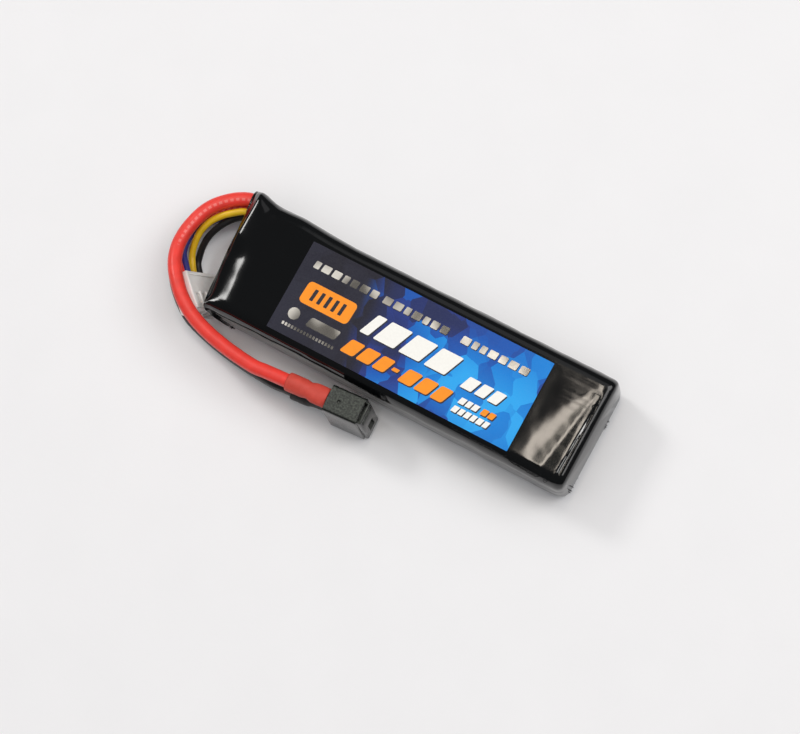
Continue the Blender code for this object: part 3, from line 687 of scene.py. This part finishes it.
def wrap_ring(x):
    """The film's section at x, as points round it."""
    bulge, inset, corner = station(x)
    low = (NEAR_Y + inset, min(inset, 0.8))
    high = (FAR_Y + bulge, PACK_HEIGHT - inset)
    middle_y, middle_z = (low[0] + high[0]) / 2, (low[1] + high[1]) / 2
    ring = []
    for y, z in outline(low, high, corner):
        drop, squeeze = film_offset(x, y, z)
        side = 1 if y > middle_y else -1
        in_side = squeeze * ease((abs(y - middle_y) - (high[0] - middle_y - 1.5)) / 1.5)
        along, across = corner_pull(x, y)
        height = max(z - drop, 0.0) if z > middle_z else z
        ring.append(Vector((undercut(x, y, z) + along, y - side * in_side + across, height)))
    return ring


def collar_ring(share):
    """The collar round the leads, from its rim at 0 to the wrap's end face at 1."""
    rim = outline(MOUTH_LOW, MOUTH_HIGH, MOUTH_CORNER)
    face = wrap_ring(LEAD_END_X)
    ring = []
    count = len(rim)
    for index, ((y, z), end) in enumerate(zip(rim, face)):
        start = Vector((MOUTH_X + MOUTH_SLANT * (MOUTH_HIGH[0] - y), y, z))
        lip = Vector((start.x + 0.8, y, z))
        turn = 2 * math.pi * index / count
        pleat = 0.16 * math.sin(9 * turn + 1.3 * math.sin(3 * turn)) * math.sin(math.pi * min(1, share * 1.2))
        if share < 0.3:
            point = start.lerp(lip, share / 0.3)
        else:
            along = (share - 0.3) / 0.7
            point = lip.lerp(end, along)
            point.x -= 0.35 * math.sin(math.pi * along) * ease((y - 4) / 5)
        centre = Vector((point.x, *MOUTH_MIDDLE))
        outwards = (point - centre).normalized()
        ring.append(point + outwards * pleat)
    return ring


def add_wrap(look):
    """The film: collar, lead end, body and closed end, with a wall. Its rings are closer at the ends."""
    stops = [LEAD_END_X + 0.12 * step for step in range(10)]
    x = stops[-1]
    while x < PLAIN_END_X - CLOSING_LENGTH:
        x += 0.45 if x < -38 or x > 36 else 1.3
        stops.append(min(x, PLAIN_END_X - CLOSING_LENGTH))
    shares = [1 - step / CLOSING_RINGS for step in range(1, CLOSING_RINGS + 1)]
    stops += [PLAIN_END_X - CLOSING_LENGTH * share ** 1.35 for share in shares]
    rings = [collar_ring(step / COLLAR_RINGS) for step in range(COLLAR_RINGS)]
    rings += [wrap_ring(x) for x in stops]
    bm = bmesh.new()
    loops = skin(bm, rings, caps=False)
    cap = bm.faces.new(loops[-1])
    bmesh.ops.recalc_face_normals(bm, faces=bm.faces)
    if cap.normal.x < 0:
        bmesh.ops.reverse_faces(bm, faces=bm.faces)
    piece = add_piece("wrap_film", bm, look, ["shrink_wrap"], smooth_angle=50)
    add_wall(piece, WRAP_WALL)


def top_of_film(x, y):
    """The film's height over the top face."""
    return PACK_HEIGHT - film_offset(x, y, PACK_HEIGHT)[0]


def add_creases(look):
    """Fine raised beads where the film bunched as it shrank, mostly at the plain end and by the label.

    Each line has its radius, how far it wanders, and its course as (x, y) pairs.
    """
    lines = (
        (0.13, 0.10, ((36.6, -14.6), (37.2, -15.0), (40.6, -15.1), (44.2, -15.2), (45.2, -14.3),
                      (46.4, -14.7))),
        (0.12, 0.10, ((46.2, -14.2), (46.0, -15.2), (46.6, -15.5), (47.1, -14.6), (47.0, -13.3),
                      (47.6, -11.6), (47.7, -9.0), (48.3, -6.2), (48.4, -3.4), (48.9, -0.8), (48.6, 1.6),
                      (49.0, 2.6))),
        (0.13, 0.12, ((49.0, 2.4), (48.1, 2.9), (48.4, 3.8), (49.1, 3.7), (48.9, 4.6), (48.0, 5.1),
                      (48.5, 6.2), (49.0, 5.9), (48.9, 7.4), (48.3, 8.2), (47.2, 8.2), (46.2, 7.9))),
        (0.13, 0.14, ((20.4, -14.0), (21.2, -13.9), (21.9, -14.3), (24.0, -14.2), (27.6, -14.4),
                      (31.0, -14.3), (34.4, -14.5), (35.6, -14.3), (35.9, -13.4), (35.7, -12.6))),
        (0.10, 0.08, ((-14.2, -14.1), (-13.8, -14.6), (-13.1, -14.5))),
        (0.09, 0.08, ((2.9, -14.2), (3.1, -14.5))),
        (0.10, 0.08, ((43.4, -14.4), (43.0, -13.4), (43.6, -12.7), (44.3, -13.0))),
        (0.08, 0.07, ((44.0, 6.1), (44.9, 6.9), (45.7, 8.3))),
    )
    source = random.Random(11)
    bm = bmesh.new()
    for radius, wobble, line in lines:
        points = smooth_points([(x, y, 0.0) for x, y in line], 0.16)
        shift = Vector((0.0, 0.0, 0.0))
        placed = []
        for point in points:
            step = Vector((source.uniform(-wobble, wobble), source.uniform(-wobble, wobble), 0))
            shift = shift * 0.7 + step * 0.6
            spot = point + shift
            edge = max(0.0, abs(spot.y - WRAP_MIDDLE_Y) - (WRAP_HALF_WIDTH - FILM_CORNER))
            fall = FILM_CORNER - math.sqrt(max(0.0, FILM_CORNER ** 2 - edge ** 2))
            end = max(0.0, spot.x - BEAD_FALL_X)
            height = top_of_film(spot.x, spot.y) - fall - 0.9 * end ** 2 + 0.02
            placed.append(Vector((spot.x, spot.y, height)))

        def size(share, largest=radius):
            """Thin at both ends and thickest in the middle."""
            return largest * (0.35 + 0.65 * math.sin(math.pi * share) ** 0.5)

        sweep(bm, placed, size, 8)
    add_piece("wrap_creases", bm, look)


def add_wrap_shreds(look):
    """The torn edge of the film that shows under the bottom edges at the corners."""
    source = random.Random(5)
    bm = bmesh.new()
    rows = (
        ((PLAIN_END_X - 0.35, -13.2), (PLAIN_END_X - 0.35, -8.8), (1, 0)),
        ((PLAIN_END_X - 0.35, 4.2), (PLAIN_END_X - 0.35, 8.6), (1, 0)),
        ((-44.6, NEAR_Y + 0.75), (-41.4, NEAR_Y + 0.2), (0, -1)),
    )
    for start, end, outwards in rows:
        steps = 9
        for step in range(steps):
            share = step / steps
            x = start[0] + (end[0] - start[0]) * share
            y = start[1] + (end[1] - start[1]) * share
            length = source.uniform(0.25, 0.75)
            width = source.uniform(0.2, 0.4)
            height = source.uniform(0.5, 1.4)
            tip = Vector((x + outwards[0] * length, y + outwards[1] * length, height * 0.4))
            base = [Vector((x - abs(outwards[1]) * width, y - abs(outwards[0]) * width, 0.25)),
                    Vector((x + abs(outwards[1]) * width, y + abs(outwards[0]) * width, 0.25)),
                    Vector((x, y, 0.25 + height))]
            corners = [bm.verts.new(point) for point in (*base, tip)]
            bm.faces.new(corners[:3])
            for first, second in ((0, 1), (1, 2), (2, 0)):
                bm.faces.new((corners[second], corners[first], corners[3]))
    add_piece("wrap_torn_edge", bm, look, smooth_angle=10)


# ---- Label ----
def prism(bm, corners, bottom, top):
    """Adds a closed prism over corners, which are (x, y) pairs."""
    low = [bm.verts.new((x, y, bottom)) for x, y in corners]
    high = [bm.verts.new((x, y, top)) for x, y in corners]
    bm.faces.new(list(reversed(low)))
    bm.faces.new(high)
    for index in range(len(corners)):
        following = (index + 1) % len(corners)
        bm.faces.new((low[index], low[following], high[following], high[index]))


def slab(start, size, slant=0.0, corner=0.0):
    """A block on the label: its lowest corner, its size, how far its top leans, and its corner radius."""
    u, v = start
    width, height = size
    steps = 4 if corner else 0
    points = []
    centres = ((width - corner, height - corner, 0), (corner, height - corner, 90), (corner, corner, 180),
               (width - corner, corner, 270))
    for centre_u, centre_v, turn in centres:
        for step in range(steps + 1):
            angle = math.radians(turn + (90 * step / steps if steps else 45))
            at_u = centre_u + corner * math.cos(angle)
            at_v = centre_v + corner * math.sin(angle)
            points.append((LABEL_START[0] + u + at_u + slant * at_v, LABEL_START[1] + v + at_v))
    return points


def add_label(look):
    bm = bmesh.new()
    prism(bm, slab((0, 0), (LABEL_LENGTH, LABEL_WIDTH), 0.0, 0.15), LABEL_BOTTOM, LABEL_TOP)
    add_piece("label_ground", bm, look, ["label"], smooth_angle=30)


def add_ink(name, look, blocks, level=1):
    """One colour of print: every block is a thin raised slab, and a higher level lies on a lower one."""
    bm = bmesh.new()
    bottom = LABEL_TOP + INK_THICKNESS * (level - 1)
    for block in blocks:
        prism(bm, slab(*block), bottom, bottom + INK_THICKNESS)
    add_piece(name, bm, look, smooth_angle=30)


def row(start, widths, height, gap, slant=0.0, corner=0.0):
    """Blocks side by side."""
    blocks = []
    u, v = start
    for width in widths:
        blocks.append(((u, v), (width, height), slant, corner))
        u += width + gap
    return blocks


def shifted(blocks, by):
    """The same blocks moved along the label."""
    return [((u + by[0], v + by[1]), size, slant, corner) for (u, v), size, slant, corner in blocks]


def add_print():
    """Plain blocks and bars laid out as a label's print would be. None is a letter, figure or mark."""
    white = plain_look("ink_white", (0.93, 0.92, 0.87), 0.45, spread=0.04, depth_mm=0.004)
    orange = plain_look(
        "ink_orange", (1.0, 0.31, 0.012), 0.45, grain_mm=2.5, depth_mm=0.004, spread=0.08,
        Specular_IOR_Level=0.25,
    )
    dark = plain_look("ink_dark", (0.012, 0.014, 0.03), 0.45, spread=0.2, depth_mm=0.004)
    silver = silver_look()
    source = random.Random(3)
    gauge = row((20.6, 9.1), (2.4, 5.6, 5.6, 5.6), 5.6, 1.3, slant=0.42, corner=0.35)
    small_gauge = row((48.2, 8.4), (3.0, 2.6, 2.6), 3.2, 0.8, slant=0.4, corner=0.25)
    orange_row = row((18.6, 2.9), (3.6, 3.6, 3.2), 3.8, 0.75, slant=0.42, corner=0.5)
    orange_row += row((31.9, 4.4), (1.7,), 0.9, 0.6, slant=0.42, corner=0.2)
    orange_row += row((34.3, 2.9), (3.6, 3.6, 3.2), 3.8, 0.75, slant=0.42, corner=0.5)
    small_white = row((49.6, 4.8), (1.5, 1.3, 1.4), 1.6, 0.35, slant=0.3, corner=0.1)
    small_white += row((49.0, 2.4), (1.4, 1.2, 1.3, 1.2, 1.4, 1.2), 1.6, 0.35, slant=0.3, corner=0.1)
    small_orange = row((55.5, 4.8), (1.5, 1.5), 1.6, 0.35, slant=0.3, corner=0.2)
    add_ink("label_shadow_blocks", dark,
            shifted(gauge + small_gauge + orange_row + small_white + small_orange, (0.28, -0.26)))
    add_ink("label_white_blocks", white, gauge + small_gauge + small_white, level=2)
    add_ink("label_orange_blocks", orange, orange_row + small_orange, level=2)
    add_ink("label_badge_rim", dark, [((3.5, 8.65), (13.8, 6.1), 0.06, 1.2)])
    add_ink("label_badge", orange, [((3.7, 8.9), (13.4, 5.7), 0.06, 1.1)], level=2)
    add_ink("label_badge_bars", dark, row((6.0, 10.2), [0.9] * 5, 3.1, 1.05, slant=0.1, corner=0.2), level=3)
    line = []
    for start in (2.9, 22.0, 43.2):
        widths = [source.choice((1.5, 1.9, 2.2)) for _ in range(7)]
        line += row((start, 17.7), widths, 1.9, 0.68, slant=0.12, corner=0.25)
    mark = [((3.0, 4.2), (3.0, 3.0), 0.0, 1.45)] + row((8.2, 4.4), (8.0,), 2.5, 0.5, slant=0.3, corner=0.5)
    dashes = row((2.9, 2.2), [0.55] * 17, 0.8, 0.3, corner=0.1)
    add_ink("label_silver_shadow", dark, shifted(line + mark, (0.16, -0.16)))
    add_ink("label_silver_blocks", silver, line + mark + dashes, level=2)


# ---- Plugs and sleeves ----
def block(bm, low, high):
    """Adds a box between two corners."""
    low, high = Vector(low), Vector(high)
    made = bmesh.ops.create_cube(bm, size=1.0)["verts"]
    bmesh.ops.scale(bm, vec=high - low, verts=made)
    bmesh.ops.translate(bm, vec=(low + high) / 2, verts=made)
    return made


def rounded_block(bm, low, high, radius, segments=3, ends=True):
    """A box with rounded edges, or with only its edges along X rounded."""
    made = block(bm, low, high)
    edges = {edge for vert in made for edge in vert.link_edges}
    if not ends:
        edges = {edge for edge in edges if abs(edge.verts[0].co.x - edge.verts[1].co.x) > 0}
    bmesh.ops.bevel(bm, geom=list(edges), offset=radius, segments=segments, profile=0.5, affect="EDGES")


def shape(build):
    """A bare object from a function that fills a bmesh in millimetres, for use in a Boolean."""
    bm = bmesh.new()
    build(bm)
    bmesh.ops.recalc_face_normals(bm, faces=bm.faces)
    mesh = bpy.data.meshes.new("shape")
    bm.to_mesh(mesh)
    bm.free()
    return add_object("shape", mesh)


def carve(base, changes, edge):
    """Joins and cuts shapes, rounds the edges that are left, and returns the result as a bmesh."""
    for operation, other in changes:
        modifier = base.modifiers.new("change", "BOOLEAN")
        modifier.operation = operation
        modifier.solver = "EXACT"
        modifier.object = other
    modifier = base.modifiers.new("edge", "BEVEL")
    modifier.width = edge
    modifier.segments = 2
    modifier.limit_method = "ANGLE"
    modifier.angle_limit = math.radians(50)
    bpy.context.view_layer.update()
    evaluated = base.evaluated_get(bpy.context.evaluated_depsgraph_get())
    bm = bmesh.new()
    bm.from_mesh(evaluated.to_mesh())
    evaluated.to_mesh_clear()
    for used in (base, *(other for _, other in changes)):
        bpy.data.objects.remove(used)
    return bm


def turned_block(place, low, high, radius):
    """A box shape in another frame, given relative to the piece being carved."""
    def build(bm):
        if radius:
            rounded_block(bm, low, high, radius, 2)
        else:
            block(bm, low, high)
        bmesh.ops.transform(bm, matrix=place, verts=bm.verts)
    return shape(build)


def join(place, low, high, radius=0.0):
    return "UNION", turned_block(place, low, high, radius)


def cut(place, low, high, radius=0.0):
    return "DIFFERENCE", turned_block(place, low, high, radius)


def add_t_plug(look):
    """The housing: a body with a raised face, two slots, a tail hole behind each, a trench and a dimple."""
    side = T_BODY_WIDTH / 2
    front = T_BODY_LENGTH + T_FACE_LENGTH
    far_corner = (T_BODY_LENGTH, side, T_HEIGHT)
    base = shape(lambda bm: rounded_block(bm, (0, -side, 0), far_corner, 0.75, 4, ends=False))
    changes = [join(HERE, (T_BODY_LENGTH - 1.0, -side + 0.5, 0.4), (front, side - 0.5, T_HEIGHT - 0.6), 0.45)]
    half, depth = SLOT_WIDTH / 2, SLOT_HEIGHT / 2
    for height, turn in CONTACTS.values():
        place = Matrix.Translation((0, 0, height)) @ Matrix.Rotation(turn, 4, "X")
        changes.append(cut(place, (front - SLOT_DEPTH, -half, -depth), (front + 3, half, depth)))
        changes.append(cut(place, (-1, -2.1, -depth + 0.05), (3, 2.1, -depth + 1.1)))
    # The trench behind the front rim, open to the top, and the dimple in the top.
    changes.append(cut(HERE, (8.7, -2.4, 12.6), (9.5, 2.4, 17.0)))
    dimple = Matrix.Translation((3.0, -0.1, T_HEIGHT))
    changes.append(cut(dimple, (-0.45, -0.45, -0.5), (0.45, 0.45, 0.5), 0.3))
    bm = carve(base, changes, edge=0.08)
    place = in_metres(t_plug_frame())
    return add_piece("t_plug_body", bm, look, ["t_plug_housing"], smooth_angle=40, place=place)


def add_sleeve(pole, colour, look):
    """A shrunk sleeve: round over the lead, a waist, then flat and wide over the contact's tail."""
    stations = (
        (-SLEEVE_LENGTH, 2.2, 2.2), (-10.6, 2.32, 2.32), (-8.4, 2.34, 2.34), (-6.6, 2.3, 2.3),
        (-5.4, 2.1, 1.95), (-4.6, 2.3, 1.85), (-3.6, 2.5, 1.8), (-0.9, 2.5, 1.8), (-0.3, 2.42, 1.75),
    )
    rings = []
    turns = 40
    for a, half_width, half_height in smooth_points(stations, 0.22):
        ring = []
        for step in range(turns):
            turn = 2 * math.pi * step / turns
            pucker = 1 + 0.02 * noise.noise(Vector((a * 0.9, 2.5 * math.cos(turn), 2.5 * math.sin(turn))))
            pucker += 0.012 * math.sin(5 * turn + a) * fall_off(a + 5.4, 1.2)
            ring.append((a, pucker * half_width * math.cos(turn), pucker * half_height * math.sin(turn)))
        rings.append(ring)
    bm = bmesh.new()
    skin(bm, rings, caps=False)
    piece = add_piece(
        f"sleeve_{colour}_tube", bm, look, [f"heat_shrink_{colour}"], smooth_angle=60,
        place=in_metres(contact_frame(pole)),
    )
    add_wall(piece, SLEEVE_WALL)
    return piece


def add_balance_plug(look):
    """The housing: four cavities with windows, ribs between them, and guide rails along both narrow sides."""
    low, high = (0, 0, -BALANCE_THICKNESS + 0.35), (BALANCE_LENGTH, BALANCE_WIDTH, -0.45)
    base = shape(lambda bm: rounded_block(bm, low, high, 0.3, 3))
    middle = -BALANCE_THICKNESS / 2
    half = PIN_CAVITY / 2
    changes = []
    for across in (0.0, BALANCE_WIDTH - 0.9):
        guide_end = (BALANCE_LENGTH, across + 0.9, 0.0)
        changes.append(join(HERE, (0.0, across, -1.5), guide_end, 0.2))
    changes.append(join(HERE, (0.0, 0.2, -1.5), (0.9, BALANCE_WIDTH - 0.2, -0.05), 0.2))
    for across in (0.9, BALANCE_WIDTH - 2.1):
        rail_end = (BALANCE_LENGTH - 0.3, across + 1.2, -4.0)
        changes.append(join(HERE, (1.5, across, -BALANCE_THICKNESS), rail_end, 0.15))
    for pin in range(len(BALANCE_ROUTES) + 1):
        centre = FIRST_PIN + (pin - 0.5) * PIN_PITCH
        rib_end = (BALANCE_LENGTH - 0.2, centre + 0.3, -0.12)
        changes.append(join(HERE, (5.2, centre - 0.3, -1.4), rib_end, 0.1))
    for pin in range(len(BALANCE_ROUTES)):
        centre = FIRST_PIN + pin * PIN_PITCH
        cavity_end = (BALANCE_LENGTH + 1, centre + half, middle + half)
        changes.append(cut(HERE, (-1, centre - half, middle - half), cavity_end))
        changes.append(cut(HERE, (5.6, centre - 0.6, middle), (8.4, centre + 0.6, 1.0)))
    bm = carve(base, changes, edge=0.06)
    place = in_metres(balance_frame())
    return add_piece("balance_plug_body", bm, look, ["balance_plug_housing"], smooth_angle=40, place=place)


# ---- Looks for the CAD nodes that stay ----
# Start of a node's name: material, colour, roughness, metallic, then its grain, depth and spread.
NODE_LOOKS = {
    "cell_pad": ("foam_white", (0.78, 0.77, 0.73), 0.85, 0.0, 0.4, 0.08),
    "end_pad": ("foam_grey", (0.5, 0.5, 0.5), 0.9, 0.0, 0.4, 0.1),
    "cell_": ("pouch_foil", (0.62, 0.63, 0.65), 0.32, 0.85, 3.0, 0.05, 0.12),
    "positive_tab": ("tab_aluminium", (0.76, 0.77, 0.79), 0.35, 1.0, 0.5, 0.01),
    "negative_tab": ("tab_nickel", (0.6, 0.57, 0.52), 0.3, 1.0, 0.5, 0.01),
    "tab_seal": ("seal_film", (0.74, 0.74, 0.68), 0.4, 0.0, 1.0),
    "junction_board": ("board_green", (0.02, 0.15, 0.06), 0.4, 0.0, 0.3, 0.01),
    "board_card": ("card_blue", (0.1, 0.2, 0.3), 0.8, 0.0, 0.2, 0.03),
    "tape_band": ("polyimide_amber", (0.55, 0.27, 0.03), 0.22, 0.0, 4.0),
    "solder_": ("solder_bright", (0.7, 0.7, 0.7), 0.22, 1.0, 0.8),
    "t_plug_solder": ("solder_tail", (0.68, 0.68, 0.68), 0.26, 1.0, 0.7),
    "t_plug_contact": ("contact_gold", (0.83, 0.58, 0.24), 0.24, 1.0, 0.5, 0.004),
    "contact_spring": ("spring_steel", (0.6, 0.6, 0.6), 0.28, 1.0, 0.4, 0.004),
    "balance_contact": ("contact_tin", (0.64, 0.64, 0.66), 0.3, 1.0, 0.4, 0.006),
}


def dress_nodes():
    """Gives each carried-over node its material."""
    looks = {start: plain_look(*settings) for start, settings in NODE_LOOKS.items()}
    for name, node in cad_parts.items():
        for start, look in looks.items():
            if name.startswith(start):
                node.data.materials.clear()
                node.data.materials.append(look)
                break


# ---- Studio ----
def add_light(name, towards, distance, size, power, colour):
    """A flat soft light at a distance from the middle of the pack, facing it. All in metres and watts."""
    data = bpy.data.lights.new(name, "AREA")
    data.shape = "RECTANGLE"
    data.size, data.size_y = size
    data.energy = power
    data.color = colour
    light = add_object(name, data)
    aim = Vector((0.0, 0.0, 10 * MM))
    place = aim + Vector(towards).normalized() * distance
    light.rotation_mode = "QUATERNION"
    light.rotation_quaternion = (aim - place).to_track_quat("-Z", "Y")
    light.location = place


def add_world():
    """A pale room, brightest overhead. Glossy faces see a dark one, so the black film stays black."""
    world = bpy.data.worlds.new("studio")
    world.use_nodes = True
    nodes, links = world.node_tree.nodes, world.node_tree.links
    height = nodes.new("ShaderNodeSeparateXYZ")
    links.new(nodes.new("ShaderNodeTexCoord").outputs["Generated"], height.inputs["Vector"])
    rise = nodes.new("ShaderNodeMapRange")
    rise.interpolation_type = "SMOOTHSTEP"
    for socket, value in (("From Min", 0.5), ("From Max", 0.95), ("To Min", 0.14), ("To Max", 1.0)):
        rise.inputs[socket].default_value = value
    links.new(height.outputs["Z"], rise.inputs["Value"])
    strength = nodes.new("ShaderNodeMix")
    strength.inputs["B"].default_value = 0.07
    links.new(nodes.new("ShaderNodeLightPath").outputs["Is Glossy Ray"], strength.inputs["Factor"])
    links.new(rise.outputs["Result"], strength.inputs["A"])
    links.new(strength.outputs["Result"], nodes["Background"].inputs["Strength"])
    nodes["Background"].inputs["Color"].default_value = (0.98, 0.98, 1.0, 1.0)
    bpy.context.scene.world = world


def add_studio():
    bpy.context.scene.view_settings.view_transform = "Standard"
    add_world()
    add_light("main", (0.8, 0.55, 1.2), 1.5, (0.8, 0.8), 7.0, (1.0, 0.99, 0.98))
    add_light("fill_far", (0.15, 1.0, 1.75), 1.7, (1.3, 0.8), 1.5, (0.98, 0.98, 1.0))
    add_light("streak", (-0.95, 0.25, 1.0), 1.3, (0.27, 0.27), 3.6, (1.0, 0.99, 0.97))
    add_light("lamp", (-0.02, 0.126, 0.98), 1.2, (0.09, 0.45), 1.7, (1.0, 0.9, 0.78))
    bm = bmesh.new()
    bmesh.ops.create_grid(bm, x_segments=1, y_segments=1, size=2.0)
    mesh = bpy.data.meshes.new("floor")
    bm.to_mesh(mesh)
    bm.free()
    mesh.materials.append(floor_look())
    floor = add_object("floor", mesh)
    floor.location.z = -0.05 * MM


# ---- Build ----
add_camera()
sleeve_red = sleeve_look("sleeve_red_matte", (0.56, 0.055, 0.035))
sleeve_black = sleeve_look("sleeve_black_matte", (0.016, 0.016, 0.016))
plug_pieces = {
    "t_plug": add_t_plug(plug_black_look()),
    "sleeve_red": add_sleeve("positive", "red", sleeve_red),
    "sleeve_black": add_sleeve("negative", "black", sleeve_black),
    "balance_plug": add_balance_plug(plug_white_look()),
}
add_leads()
film = film_look()
add_wrap(film)
add_creases(film)
add_wrap_shreds(film)
add_label(label_look())
add_print()
dress_nodes()
add_studio()

bpy.context.view_layer.update()
